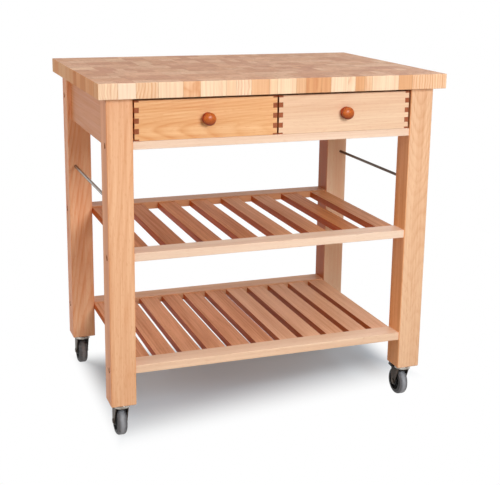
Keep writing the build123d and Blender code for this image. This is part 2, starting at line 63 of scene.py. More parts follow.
def add(tree, kind, inputs=(), stops=(), **settings):
    # Adds one shader node with its settings, its ramp stops and its values. An input that is
    # a node is linked from that node's first live output.
    made = tree.nodes.new("ShaderNode" + kind)
    for key, value in settings.items():
        setattr(made, key, value)
    if stops:
        elements = made.color_ramp.elements
        elements[0].position, elements[0].color = stops[0]
        elements[1].position, elements[1].color = stops[-1]
        for position, colour in stops[1:-1]:
            elements.new(position).color = colour
    for key, value in inputs.items() if isinstance(inputs, dict) else enumerate(inputs):
        if isinstance(value, bpy.types.Node):
            value = next(output for output in value.outputs if output.enabled)
        if isinstance(value, bpy.types.NodeSocket):
            tree.links.new(value, made.inputs[key])
        else:
            made.inputs[key].default_value = value
    return made


def newMaterial(name):
    material = bpy.data.materials.new(name)
    material.use_nodes = True
    material.node_tree.nodes.clear()
    return material, partial(add, material.node_tree)


def assign(nodeName, material):
    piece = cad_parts[nodeName]
    piece.data.materials.clear()
    piece.data.materials.append(material)


# The camera stands to the left of the cart and looks a little down at it. The lens shift
# keeps the legs' convergence of the photograph.
cameraPlace = {
    "position": (-0.9339, -2.6049, 1.1960),
    "azimuth": 20.37,
    "pitch": 13.39,
    "roll": 0.795,
    "focalPixels": 1015.4,
    "centreRow": 200.0,
    "sensor": 36.0,
    "reach": 50.0,
}


def makeCamera(place):
    azimuth, pitch, roll = (math.radians(place[key]) for key in ("azimuth", "pitch", "roll"))
    level = math.cos(pitch)
    forward = Vector((math.sin(azimuth) * level, math.cos(azimuth) * level, -math.sin(pitch)))
    right = forward.cross(Vector((0, 0, 1))).normalized()
    axes = Matrix((right, right.cross(forward), -forward)).transposed()
    axes = axes @ Matrix.Rotation(roll, 3, "Z")
    data = bpy.data.cameras.new("camera")
    data.sensor_width = place["sensor"]
    data.lens = place["focalPixels"] / picture["width"] * place["sensor"]
    data.shift_y = (place["centreRow"] - picture["height"] / 2) / picture["width"]
    data.clip_end = place["reach"]
    camera = bpy.data.objects.new("camera", data)
    camera.matrix_world = Matrix.Translation(place["position"]) @ axes.to_4x4()
    scene.collection.objects.link(camera)
    scene.camera = camera


makeCamera(cameraPlace)
print("camera")

# Lamps: name, tone, power in watts, size in metres and place. The fill and the left lamp
# are warm, as if the light there came back from wood. The floor's shadow is kept within
# footprint, half sizes in metres, and runs out between the two distances of each fade.
studio = {
    "worldLevel": 0.26,
    "fillTone": "#FFEFE2",
    "lamps": [
        ("frontLamp", "#FFFFFF", 30.0, 0.7, (0.25, -2.25, 1.40)),
        ("leftLamp", "#FFEADC", 17.0, 1.2, (-2.6, -0.9, 2.0)),
        ("backLamp", "#FFFFFF", 18.0, 2.0, (2.6, 1.8, 1.6)),
        ("topLamp", "#FFFFFF", 121.0, 3.5, (0.2, -0.5, 6.0)),
    ],
    "aim": (0.0, 0.0, 0.5),
    "floorSize": 14.0,
    "floorGlow": 0.10,
    "floorTone": "#C0D2E1",
    "bounceTone": "#C5BCB3",
    "footprint": (0.434, 0.286),
    "sideFade": (-0.04, 0.05),
    "backFade": (-0.10, 0.06),
    "frontFade": (-0.19, 0.05),
    "slant": 0.17,
    "slantFrom": 0.40,
    "leftShift": 0.05,
}


def seenDirectly(node):
    # 1 for what the camera, a mirror or clear glass sees
    path = node("LightPath")
    first = node("Math", [path.outputs["Is Camera Ray"], path.outputs["Is Glossy Ray"]],
                 operation="MAXIMUM")
    return node("Math", [first, path.outputs["Is Transmission Ray"]], operation="MAXIMUM")


def makeStudio(values):
    world = bpy.data.worlds.new("studioWorld")
    world.use_nodes = True
    world.node_tree.nodes.clear()
    node = partial(add, world.node_tree)
    seen = seenDirectly(node)
    level = node("MapRange", [seen, 0.0, 1.0, values["worldLevel"], 1.0])
    tone = node("Mix", {0: seen, 6: hexColour(values["fillTone"]), 7: grey(1.0)},
                data_type="RGBA")
    background = node("Background", {"Color": tone, "Strength": level})
    node("OutputWorld", [background])
    scene.world = world

    for name, tone, power, size, place in values["lamps"]:
        data = bpy.data.lights.new(name, "AREA")
        data.shape, data.size, data.energy = "SQUARE", size, power
        data.color = hexColour(tone)[:3]
        lamp = bpy.data.objects.new(name, data)
        lamp.location = place
        towards = Vector(values["aim"]) - Vector(place)
        lamp.rotation_euler = towards.to_track_quat("-Z", "Y").to_euler()
        scene.collection.objects.link(lamp)

    half = values["floorSize"] / 2
    corners = [(-half, -half, 0), (half, -half, 0), (half, half, 0), (-half, half, 0)]
    mesh = bpy.data.meshes.new("studioFloor")
    mesh.from_pydata(corners, [], [(0, 1, 2, 3)])
    floor = bpy.data.objects.new("studioFloor", mesh)
    scene.collection.objects.link(floor)

    material, node = newMaterial("paleStudioFloor")
    seen = seenDirectly(node)
    tone = node("Mix", {0: seen, 6: hexColour(values["bounceTone"]),
                        7: hexColour(values["floorTone"])}, data_type="RGBA")
    diffuse = node("BsdfDiffuse", {"Color": tone})
    lift = node("Math", [seen, values["floorGlow"]], operation="MULTIPLY")
    glow = node("Emission", {"Color": grey(1.0), "Strength": lift})
    near = node("AddShader", [diffuse, glow])
    # The shadow stays under the cart, and outside it the floor runs into a white background.
    parts = node("SeparateXYZ", [node("TexCoord").outputs["Object"]])
    shares = []
    halfWidth, halfDepth = values["footprint"]
    beside = node("Math", [parts.outputs[0], -values["leftShift"]], operation="ADD")
    beside = node("Math", [beside], operation="ABSOLUTE")
    behind = node("Math", [parts.outputs[1]], operation="ABSOLUTE")
    # The front edge of the shadow runs back towards the right.
    slant = values["slant"]
    before = node("Math", [parts.outputs[0], slant, slant * values["slantFrom"]],
                  operation="MULTIPLY_ADD")
    before = node("Math", [before, parts.outputs[1]], operation="SUBTRACT")
    for away, half, fade in ((beside, halfWidth, "sideFade"), (behind, halfDepth, "backFade"),
                             (before, halfDepth, "frontFade")):
        beyond = node("Math", [away, half], operation="SUBTRACT")
        shares.append(node("MapRange", [beyond, *values[fade], 0.0, 1.0],
                           interpolation_type="SMOOTHSTEP"))
    outside = node("Math", shares[:2], operation="MAXIMUM")
    outside = node("Math", [outside, shares[2]], operation="MAXIMUM")
    white = node("Emission", {"Color": grey(1.0), "Strength": 1.0})
    share = node("Math", [seen, outside], operation="MULTIPLY")
    node("OutputMaterial", [node("MixShader", [share, near, white])])
    mesh.materials.append(material)


makeStudio(studio)
scene.view_settings.view_transform = "Standard"
print("studio")

# A noise node's values lie nearly all between these two.
noiseRange = (0.3, 0.7)

# Solid beech, planed and finished with a satin lacquer: pale pinkish tan, with soft growth
# rings that run out in long flames, slow tone bands along the board and short darker
# flecks. Cut ends are redder. Streaks and flecks of 0.5 mm would not show, so they are
# drawn 3 mm wide. Gaps are in metres, across and along the grain. ringStops runs through
# one ring: place and darkness.
beech = {
    "waverGap": (0.11, 0.9),
    "waver": 0.055,
    "ringStops": [(0.0, 0.45), (0.12, 0.10), (0.50, 0.25), (0.88, 1.0), (1.0, 0.45)],
    "ringFadeGap": (0.05, 0.35),
    "ringFade": (0.35, 0.65, 0.25, 1.0),
    "bandGap": (0.028, 1.1),
    "streakGap": (0.0034, 0.22),
    "fleckGap": (0.0030, 0.016),
    "fleckRange": (0.58, 0.72),
    "fleckShare": 0.30,
    "darker": 0.12,
    "shine": {"upperSlat": 0.06, "middleSlat": 0.06, "lowerSlat": 0.06, "paleSlat": 0.06,
              "drawerSide": 0.04, "panel": 0.04, "runner": 0.04, "others": 0.22},
    "relief": 0.00025,
    "reliefShare": 0.25,
    "fleckRise": -0.6,
    "gloss": (0.36, 0.50),
    "endFrom": (0.55, 0.85),
    "endRougher": 0.15,
    "endDarker": "#7A3E26",
    # painted shade: tone that multiplies the faces that look left or right
    "sideShadeTint": "#FFE7CC",
    "drift": 9,
}

# For each kind of board: pale tone, deep tone and cut-end tone, then how far the rings,
# the streaks and the bands turn the pale tone to the deep one. The kinds at the back of the
# cart and on the upper shelf carry painted light and shade in their tones.
woodTones = {
    "leg": ("#F9CBA2", "#DA915F", "#B9784F", 0.22, 0.22, 0.46),
    "paleLeg": ("#F9D3AE", "#D99D71", "#B9784F", 0.22, 0.22, 0.40),
    # painted light and warm shade: back left leg lighter and redder, back right leg lighter
    # still
    "backLeg": ("#FFD4AC", "#EA9664", "#B9784F", 0.20, 0.20, 0.40),
    "backRightLeg": ("#FFDEBE", "#F0B48C", "#B9784F", 0.20, 0.20, 0.30),
    "apron": ("#EEB98F", "#D0956A", "#A96B49", 0.04, 0.10, 0.30),
    "rail": ("#F8DABE", "#DFB08C", "#A96B49", 0.10, 0.22, 0.30),
    "paleRail": ("#FAE2CC", "#E4BC9E", "#A96B49", 0.10, 0.22, 0.30),
    # painted shade: the back rails are darker, for the light that falls off deep in the cart
    "upperBackRail": ("#CF9A72", "#B0744C", "#A0603E", 0.14, 0.25, 0.35),
    "lowerBackRail": ("#EDBD96", "#CF946A", "#A0603E", 0.14, 0.25, 0.35),
    # painted shade: the upper slats are deeper and redder, for the shade under the worktop
    "upperSlat": ("#DE955C", "#A85B28", "#8E4F30", 0.22, 0.35, 0.40),
    "lowerSlat": ("#F4B78C", "#C2784A", "#97583A", 0.22, 0.35, 0.40),
    "middleSlat": ("#EEB080", "#BE7848", "#8E4F30", 0.22, 0.35, 0.40),
    "paleSlat": ("#FDCDA8", "#D89A70", "#97583A", 0.22, 0.35, 0.40),
    "drawerLeft": ("#F7C996", "#DD9458", "#9C5A3C", 0.42, 0.25, 0.30),
    "drawerRight": ("#F7D9BA", "#E1B28E", "#9C5A3C", 0.16, 0.25, 0.30),
    "drawerSide": ("#DDA27C", "#B5704B", "#B0694A", 0.20, 0.35, 0.35),
    "panel": ("#E6C49A", "#C99E72", "#B08258", 0.30, 0.30, 0.35),
    "runner": ("#E2B68E", "#BD8B62", "#A0683F", 0.20, 0.35, 0.35),
}

# Painted shade on the faces that look left and right, for boards whose sides lie deeper in
# shade: the sawn edges of the slats, and the inner face of one leg. The first tone is for faces
# that look left.
sideShadesByKind = {
    "upperSlat": ("#ECB88A", "#ECB88A"),
    "middleSlat": ("#DCA678", "#DCA678"),
    "lowerSlat": ("#E0A878", "#E0A878"),
    "paleSlat": ("#D09868", "#D09868"),
    "backRightLeg": ("#CC8E62", "#FFE7CC"),
}

# How a node's name tells its kind of board, and the axis that its grain follows
boardKinds = [
    ("leg_front_right", "paleLeg", 2),
    ("leg_back_right", "backRightLeg", 2),
    ("leg_back_", "backLeg", 2),
    ("leg_", "leg", 2),
    ("apron_back", "apron", 0),
    ("apron_", "apron", 1),
    ("upper_back_rail", "upperBackRail", 0),
    ("lower_back_rail", "lowerBackRail", 0),
    ("lower_front_rail", "rail", 0),
    ("_rail", "paleRail", 0),
    ("upper_slat_5", "middleSlat", 1),
    ("upper_slat_6", "middleSlat", 1),
    ("upper_slat_8", "middleSlat", 1),
    ("lower_slat_7", "paleSlat", 1),
    ("lower_slat_8", "paleSlat", 1),
    ("lower_slat_9", "paleSlat", 1),
    ("lower_slat_10", "paleSlat", 1),
    ("lower_slat_11", "paleSlat", 1),
    ("upper_slat_", "upperSlat", 1),
    ("lower_slat_", "lowerSlat", 1),
    ("drawer_left_front", "drawerLeft", 0),
    ("drawer_right_front", "drawerRight", 0),
    ("er_side", "drawerSide", 1),
    ("t_back", "drawerSide", 0),
    ("_bottom", "panel", 0),
    ("drawer_runners", "runner", 1),
]

# Sawing of the boards whose figure the photograph shows: place of the pith beside the
# board's middle across the grain, its tilt in degrees, the ring gap and how strongly the
# rings show
sawing = {
    "drawer_left_front": {"pith": (0.045, -0.040), "tilt": (0.5, 6.0), "ringGap": 0.0070,
                          "figure": 1.3},
    "drawer_right_front": {"pith": (0.040, 0.050), "tilt": (0.5, -5.0), "ringGap": 0.0090,
                           "figure": 1.7},
    "leg_back_left": {"pith": (0.070, 0.012), "tilt": (2.0, -9.0), "ringGap": 0.0110,
                      "figure": 2.6},
    "leg_front_left": {"pith": (0.035, 0.052), "tilt": (2.2, -1.4), "ringGap": 0.0085,
                       "figure": 1.5},
    "leg_front_right": {"pith": (0.006, 0.085), "tilt": (-6.0, 0.8), "ringGap": 0.0044,
                        "figure": 1.25},
}


def makeBeech(name, grain, tone, sideShadePair, seed, middle, pith, tilt, ringGap, figure, shine):
    # Rings are cylinders round a pith line beside the board, nearly along the grain and
    # wavered by slow noise.
    light, dark, endTone, ringDepth, streakDepth, bandDepth = tone
    material, node = newMaterial(name)
    place = node("TexCoord")
    parts = node("SeparateXYZ", [place.outputs["Object"]])
    across = [i for i in range(3) if i != grain]
    order = [parts.outputs[across[0]], parts.outputs[across[1]], parts.outputs[grain]]
    turned = node("CombineXYZ", order)
    rng = np.random.default_rng(seed)

    def noiseOf(gap, detail=2.0):
        # Noise whose grains are gap[0] wide across the fibres and gap[1] long
        scale = (1 / gap[0], 1 / gap[0], 1 / gap[1])
        drift = rng.uniform(-beech["drift"], beech["drift"], 3)
        moved = node("Mapping", {"Vector": turned, "Location": drift, "Scale": scale})
        return node("TexNoise", {"Vector": moved, "Scale": 1.0, "Detail": detail})

    waver = noiseOf(beech["waverGap"]).outputs["Color"]
    moved = node("VectorMath", [waver, (0.5, 0.5, 0.5)], operation="SUBTRACT")
    swing = (beech["waver"], beech["waver"], 0.0)
    wavered = node("VectorMath", [moved, swing, turned], operation="MULTIPLY_ADD")
    heart = (-middle[across[0]] - pith[0], -middle[across[1]] - pith[1], -middle[grain])
    centred = node("VectorMath", [wavered, heart], operation="ADD")
    lean = (math.radians(tilt[0]), math.radians(tilt[1]), 0.0)
    leaning = node("Mapping", {"Vector": centred, "Rotation": lean})
    flat = node("VectorMath", [leaning, (1.0, 1.0, 0.0)], operation="MULTIPLY")
    reach = node("VectorMath", [flat], operation="LENGTH")
    rings = node("Math", [reach, ringGap], operation="DIVIDE")
    rings = node("Math", [rings], operation="FRACT")
    ringStops = [(at, grey(level)) for at, level in beech["ringStops"]]
    ringTone = node("ValToRGB", [rings], ringStops)
    # Rings fade in and out along the board.
    fade = node("MapRange", [noiseOf(beech["ringFadeGap"]), *beech["ringFade"]])
    ringShare = node("Math", [ringTone, fade], operation="MULTIPLY")

    streak = noiseOf(beech["streakGap"])
    band = noiseOf(beech["bandGap"])
    fleck = node("MapRange", [noiseOf(beech["fleckGap"], 1.0), *beech["fleckRange"], 0.0, 1.0])
    amount = node("Math", [ringShare, ringDepth * figure, beech["darker"]],
                  operation="MULTIPLY_ADD")
    for source, depth in ((streak, streakDepth), (band, bandDepth)):
        share = node("MapRange", [source, *noiseRange, -0.5 * depth,
                                  0.5 * depth + beech["darker"]])
        amount = node("Math", [amount, share], operation="ADD")
    amount = node("Math", [amount, 0.0], operation="ADD", use_clamp=True)
    side = node("Mix", {0: amount, 6: hexColour(light), 7: hexColour(dark)}, data_type="RGBA")
    share = node("Math", [fleck, beech["fleckShare"]], operation="MULTIPLY")
    side = node("Mix", {0: share, 6: side, 7: hexColour(dark)}, data_type="RGBA")

    # Painted shade: faces that look left or right take a warmer, darker tone.
    facing = node("SeparateXYZ", [place.outputs["Normal"]])
    isShadedSide = node("Math", [facing.outputs[0]], operation="ABSOLUTE")
    isRight = node("Math", [facing.outputs[0], 0.0], operation="GREATER_THAN")
    sideShadeTone = node("Mix", {0: isRight, 6: hexColour(sideShadePair[0]), 7: hexColour(sideShadePair[1])},
                data_type="RGBA")
    side = node("Mix", {0: isShadedSide, 6: side, 7: sideShadeTone}, data_type="RGBA", blend_type="MULTIPLY")
    isEnd = node("Math", [facing.outputs[grain]], operation="ABSOLUTE")
    isEnd = node("MapRange", [isEnd, *beech["endFrom"], 0.0, 1.0])
    endShade = node("Mix", {0: amount, 6: hexColour(endTone), 7: hexColour(beech["endDarker"])},
                    data_type="RGBA")
    colour = node("Mix", {0: isEnd, 6: side, 7: endShade}, data_type="RGBA")

    rough = node("MapRange", [streak, *noiseRange, *beech["gloss"]])
    rough = node("Math", [isEnd, beech["endRougher"], rough], operation="MULTIPLY_ADD")
    height = node("Math", [fleck, beech["fleckRise"], streak], operation="MULTIPLY_ADD")
    bump = node("Bump", {"Strength": beech["reliefShare"], "Distance": beech["relief"],
                         "Height": height})
    shader = node("BsdfPrincipled", {"Base Color": colour, "Roughness": rough, "Normal": bump,
                                     "Specular IOR Level": shine})
    node("OutputMaterial", [shader])
    return material


# Each board was sawn at its own distance from the pith, in metres, at its own tilt in
# degrees, and out of its own tree.
cutChances = {
    "cutSeed": 100,
    "grainSeed": 300,
    "distance": (0.05, 0.16),
    "tilt": 1.2,
    "ringGap": (0.005, 0.009),
}


def dressBoards(chances):
    for number, nodeName in enumerate(sorted(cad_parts)):
        found = [(kind, grain) for words, kind, grain in boardKinds if words in nodeName]
        if not found or nodeName.startswith("castor"):
            continue
        kind, grain = found[0]
        low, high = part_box(nodeName)
        middle = [(low[i] + high[i]) / 2 for i in range(3)]
        rng = np.random.default_rng(chances["cutSeed"] + number)
        angle, distance = rng.uniform(0, 2 * math.pi), rng.uniform(*chances["distance"])
        cut = {
            "pith": (distance * math.cos(angle), distance * math.sin(angle)),
            "tilt": tuple(rng.uniform(-chances["tilt"], chances["tilt"], 2)),
            "ringGap": rng.uniform(*chances["ringGap"]),
            "figure": 1.0,
            "shine": beech["shine"].get(kind, beech["shine"]["others"]),
        }
        cut.update(sawing.get(nodeName, {}))
        name = f"lacqueredBeech_{nodeName}"
        sideShadePair = sideShadesByKind.get(kind, (beech["sideShadeTint"], beech["sideShadeTint"]))
        seed = chances["grainSeed"] + number
        assign(nodeName, makeBeech(name, grain, woodTones[kind], sideShadePair, seed, middle, **cut))


dressBoards(cutChances)
print("boards")

# End-grain beech blocks, glued and oiled. The fibres stand upright, so the top shows cut
# ends with ring arcs and the edges show upright staves of uneven width. Sizes are in mm,
# scales are grains per metre, and a layer gives its tone, where in the noise it starts and
# is full, and how strong it is then.
worktopLook = {
    "blockWidths": [44, 45, 52, 60, 43, 65, 26, 37, 47, 22, 49, 26, 41, 28, 46, 22, 24, 20, 76,
                    38, 103],
    "rowDepths": [46, 58, 40, 66, 52, 38, 60, 49, 71, 43, 55, 44],
    "glueLine": 0.9,
    "ringGap": 5.0,
    "ringStops": [(0.0, 0.35), (0.15, 0.0), (0.6, 0.35), (0.88, 1.0), (1.0, 0.35)],
    "topTones": ["#E7BE9E", "#D9AA89", "#C8967A", "#EDCAAA", "#D2A184"],
    "topRings": ("#A87353", 0.42),
    "topPores": ("#96634A", 0.45, 0.75, 0.22),
    "topChecks": ("#84503A", 0.42, 0.72, 0.34),
    "topClouds": ("#B0805F", 0.35, 0.70, 0.25),
    # painted shade: tone that multiplies the faces that look left or right
    "sideShadeTint": "#FFE9D2",
    "edgeTones": ["#FBE2C2", "#F6CDA4", "#DB9F6C", "#F9DBB7", "#FDE8CE"],
    "edgeDark": "#D99A66",
    "edgeFibre": (0.35, 0.75, 0.30),
    "edgeRings": (0.55, 0.95, 0.42),
    "glueTop": "#9C7056",
    "glueEdge": "#B07548",
    "glueShare": 0.6,
    "blockSeed": (37.0, 61.0, 10.0),
    "pithReach": (0.9, 0.9, 0.0),
    "bend": (0.02, 0.02, 0.0),
    "bendScale": 14.0,
    "poreScale": 420.0,
    "fibreScale": (200.0, 200.0, 6.0),
    "cloudScale": 7.0,
    "checkScale": 60.0,
    "gloss": (0.52, 0.68),
    "relief": 0.0004,
}


def makeEndGrain(look):
    material, node = newMaterial("oiledEndGrainBeech")
    low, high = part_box("worktop")
    place = node("TexCoord")
    parts = node("SeparateXYZ", [place.outputs["Object"]])

    def strips(value, widths, total):
        # A number from 0 to 1 for each strip, and 1 on the glue lines between strips
        ends = np.cumsum([0, *widths[:-1]]) / sum(widths)
        stops = [(float(end), grey((i + 0.5) / len(widths))) for i, end in enumerate(ends)]
        here = []
        for shift in (0.0, -0.5, 0.5):
            moved = node("Math", [value, shift * look["glueLine"] / 1000 / total],
                         operation="ADD")
            made = node("ValToRGB", [moved], stops)
            made.color_ramp.interpolation = "CONSTANT"
            here.append(made)
        change = node("Math", here[1:], operation="SUBTRACT")
        change = node("Math", [change], operation="ABSOLUTE")
        return here[0], node("Math", [change, 0.001], operation="GREATER_THAN")

    alongY = node("MapRange", [parts.outputs[1], low[1], high[1], 0.0, 1.0])
    row, rowGlue = strips(alongY, look["rowDepths"], high[1] - low[1])
    # Each row behind the first starts at a place of its own.
    chance = node("TexWhiteNoise", {"W": row}, noise_dimensions="1D")
    behind = node("Math", [row, 1.0 / len(look["rowDepths"])], operation="GREATER_THAN")
    rowShift = node("Math", [chance.outputs["Value"], behind], operation="MULTIPLY")
    alongX = node("MapRange", [parts.outputs[0], low[0], high[0], 0.0, 1.0])
    alongX = node("Math", [alongX, rowShift], operation="ADD")
    alongX = node("Math", [alongX], operation="FRACT")
    column, columnGlue = strips(alongX, look["blockWidths"], high[0] - low[0])
    glue = node("Math", [rowGlue, columnGlue], operation="MAXIMUM")
    numbers = node("CombineXYZ", [row, column, 0.4])
    block = node("VectorMath", [numbers, look["blockSeed"]], operation="MULTIPLY")
    blockChance = node("TexWhiteNoise", {"Vector": block}, noise_dimensions="3D")
    blockChance = blockChance.outputs["Color"]
    pick = node("SeparateXYZ", [blockChance])

    # Ring arcs round a pith that each block has at its own side
    centre = node("VectorMath", [blockChance, (0.5, 0.5, 0.5)], operation="SUBTRACT")
    centre = node("VectorMath", [centre, look["pithReach"]], operation="MULTIPLY")
    gentle = node("TexNoise", {"Vector": place.outputs["Object"], "Scale": look["bendScale"]})
    bent = node("VectorMath", [gentle.outputs["Color"], look["bend"],
                               place.outputs["Object"]], operation="MULTIPLY_ADD")
    flat = node("VectorMath", [bent, (1.0, 1.0, 0.02)], operation="MULTIPLY")
    reach = node("VectorMath", [flat, centre], operation="DISTANCE")
    rings = node("Math", [reach, look["ringGap"] / 1000], operation="DIVIDE")
    rings = node("Math", [rings], operation="FRACT")
    ringStops = [(at, grey(level)) for at, level in look["ringStops"]]
    ringTone = node("ValToRGB", [rings], ringStops)

    pores = node("TexNoise", {"Vector": place.outputs["Object"], "Scale": look["poreScale"],
                              "Detail": 1.0})
    upright = node("Mapping", {"Vector": place.outputs["Object"], "Scale": look["fibreScale"]})
    fibre = node("TexNoise", {"Vector": upright, "Scale": 1.0})
    clouds = node("TexNoise", {"Vector": place.outputs["Object"], "Scale": look["cloudScale"]})
    # Soft darker clouds, about 16 mm wide, that lie another way in each block
    swirl = node("VectorMath", [blockChance, (0.5, 0.5, 0.0), place.outputs["Object"]],
                 operation="MULTIPLY_ADD")
    checks = node("TexNoise", {"Vector": swirl, "Scale": look["checkScale"], "Detail": 2.0,
                               "Distortion": 0.8})
    facing = node("SeparateXYZ", [place.outputs["Normal"]])
    isTop = node("Math", [facing.outputs[2]], operation="ABSOLUTE")
    isTop = node("MapRange", [isTop, 0.5, 0.9, 0.0, 1.0])

    tones = []
    for key in ("topTones", "edgeTones"):
        last = len(look[key]) - 1
        stops = [(i / last, hexColour(tone)) for i, tone in enumerate(look[key])]
        tones.append(node("ValToRGB", [pick.outputs[0]], stops))
    tone, strength = look["topRings"]
    share = node("Math", [ringTone, strength], operation="MULTIPLY")
    topColour = node("Mix", {0: share, 6: tones[0], 7: hexColour(tone)}, data_type="RGBA")
    for source, key in ((pores, "topPores"), (checks, "topChecks"), (clouds, "topClouds")):
        tone, start, full, strength = look[key]
        share = node("MapRange", [source, start, full, 0.0, strength])
        topColour = node("Mix", {0: share, 6: topColour, 7: hexColour(tone)}, data_type="RGBA")
    edgeDark = node("Mix", {0: 1.0, 6: tones[1], 7: hexColour(look["edgeDark"])},
                    data_type="RGBA", blend_type="MULTIPLY")
    start, full, strength = look["edgeFibre"]
    share = node("MapRange", [fibre, start, full, 0.0, strength])
    # Rings stand out in a few staves.
    start, full, strength = look["edgeRings"]
    figure = node("MapRange", [pick.outputs[1], start, full, 0.0, strength])
    share = node("Math", [ringTone, figure, share], operation="MULTIPLY_ADD", use_clamp=True)
    edgeColour = node("Mix", {0: share, 6: tones[1], 7: edgeDark}, data_type="RGBA")
    # Painted shade: faces that look left or right take a warmer, darker tone.
    isShadedSide = node("Math", [facing.outputs[0]], operation="ABSOLUTE")
    edgeColour = node("Mix", {0: isShadedSide, 6: edgeColour, 7: hexColour(look["sideShadeTint"])},
                      data_type="RGBA", blend_type="MULTIPLY")
    colour = node("Mix", {0: isTop, 6: edgeColour, 7: topColour}, data_type="RGBA")
    glueTone = node("Mix", {0: isTop, 6: hexColour(look["glueEdge"]),
                            7: hexColour(look["glueTop"])}, data_type="RGBA")
    share = node("Math", [glue, look["glueShare"]], operation="MULTIPLY")
    colour = node("Mix", {0: share, 6: colour, 7: glueTone}, data_type="RGBA")

    # Ring lines stand up a little and the glue lines are sunk.
    rough = node("MapRange", [pores, *noiseRange, *look["gloss"]])
    height = node("Math", [ringTone, 0.3, pores], operation="MULTIPLY_ADD")
    height = node("Math", [glue, -0.9, height], operation="MULTIPLY_ADD")
    bump = node("Bump", {"Strength": 0.3, "Distance": look["relief"], "Height": height})
    shader = node("BsdfPrincipled", {"Base Color": colour, "Roughness": rough, "Normal": bump,
                                     "Specular IOR Level": 0.22})
    node("OutputMaterial", [shader])
    return material


assign("worktop", makeEndGrain(worktopLook))
print("worktop")

# Finishes of the small pieces: pale tone, deep tone, metallic, roughness, and the width in
# metres of the clouds and of the fine marks
finishes = {
    # cold-headed zinc-plated steel, its tone painted near black as painted shade deep in the
    # bolt holes
    "boltSteelInShade": ("#1E1814", "#120E0B", 1.0, 0.42, 0.008, 0.0008),
    # moulded nylon hub: nearly black, with a dull sheen
    "blackMouldedNylon": ("#121212", "#0A0A0A", 0.0, 0.55, 0.012, 0.0010),
    # pressed steel under black paint, a little uneven
    "blackPaintedPressing": ("#0F0F10", "#080808", 0.0, 0.55, 0.010, 0.0009),
}

# What all worn metal and plastic shares: where the clouds in its tone start and are full,
# how far the fine marks move the roughness, and how deep they are in metres
wear = {"clouds": (0.35, 0.7), "polish": (0.8, 1.25), "relief": 0.0002, "reliefShare": 0.15}


def makeFinish(name):
    # Slow clouds in the tone, and fine marks in the polish and the relief
    tone, deepTone, metallic, roughness, cloudGap, markGap = finishes[name]
    material, node = newMaterial(name)
    place = node("TexCoord").outputs["Object"]
    clouds = node("TexNoise", {"Vector": place, "Scale": 1 / cloudGap, "Detail": 3.0})
    marks = node("TexNoise", {"Vector": place, "Scale": 1 / markGap})
    share = node("MapRange", [clouds, *wear["clouds"], 0.0, 1.0])
    colour = node("Mix", {0: share, 6: hexColour(tone), 7: hexColour(deepTone)},
                  data_type="RGBA")
    least, most = (roughness * factor for factor in wear["polish"])
    rough = node("MapRange", [marks, *noiseRange, least, most])
    bump = node("Bump", {"Strength": wear["reliefShare"], "Distance": wear["relief"],
                         "Height": marks})
    shader = node("BsdfPrincipled", {"Base Color": colour, "Metallic": metallic,
                                     "Roughness": rough, "Normal": bump})
    node("OutputMaterial", [shader])
    return material


# Pressed steel castor fork: a bright chromed crown over cheeks whose tone is painted a dark
# brown-grey, a painted reflection of the shade under the cart. change is the height in metres
# where the one runs into the other, and scales are grains per metre.
forkLook = {
    "crown": "#C6BFB6",
    "crownDeep": "#857A6E",
    # painted reflection: dark cheek tones for the shade under the cart that they mirror
    "cheek": "#5E534A",
    "cheekDeep": "#3B332C",
    "change": (0.0845, 0.0865),
    "gloss": (0.12, 0.42),
    "cloudScale": 90.0,
    "markScale": 900.0,
    "scuff": 0.12,
    "reliefShare": 0.12,
}


def makeFork(look):
    material, node = newMaterial("chromedForkWithShadedCheeks")
    place = node("TexCoord").outputs["Object"]
    clouds = node("TexNoise", {"Vector": place, "Scale": look["cloudScale"], "Detail": 3.0})
    marks = node("TexNoise", {"Vector": place, "Scale": look["markScale"]})
    share = node("MapRange", [clouds, *wear["clouds"], 0.0, 1.0])
    pair = [node("Mix", {0: share, 6: hexColour(look[key]), 7: hexColour(look[key + "Deep"])},
                 data_type="RGBA") for key in ("crown", "cheek")]
    parts = node("SeparateXYZ", [place])
    isCrown = node("MapRange", [parts.outputs[2], *look["change"], 0.0, 1.0])
    colour = node("Mix", {0: isCrown, 6: pair[1], 7: pair[0]}, data_type="RGBA")
    crownRough, cheekRough = look["gloss"]
    rough = node("MapRange", [isCrown, 0.0, 1.0, cheekRough, crownRough])
    rough = node("Math", [marks, look["scuff"], rough], operation="MULTIPLY_ADD")
    bump = node("Bump", {"Strength": look["reliefShare"], "Distance": wear["relief"],
                         "Height": marks})
    shader = node("BsdfPrincipled", {"Base Color": colour, "Metallic": 1.0, "Roughness": rough,
                                     "Normal": bump})
    node("OutputMaterial", [shader])
    return material


# Brushed stainless tube. Its long reflections are painted: tone bands that follow the height
# of the surface's normal, and the tube on the right is painted darker, as painted shade.
rodLook = {
    "reflectionBands": [(0.0, "#332821"), (0.58, "#3F332A"), (0.68, "#B8B0A6"), (0.78, "#A69C91"),
              (0.87, "#3F332A"), (0.95, "#968B80"), (1.0, "#857A6F")],
    "rightShade": "#5A4B40",
    "gloss": (0.208, 0.338),
    "brushScale": (900.0, 12.0, 900.0),
    "relief": 0.0001,
    "reliefShare": 0.1,
}


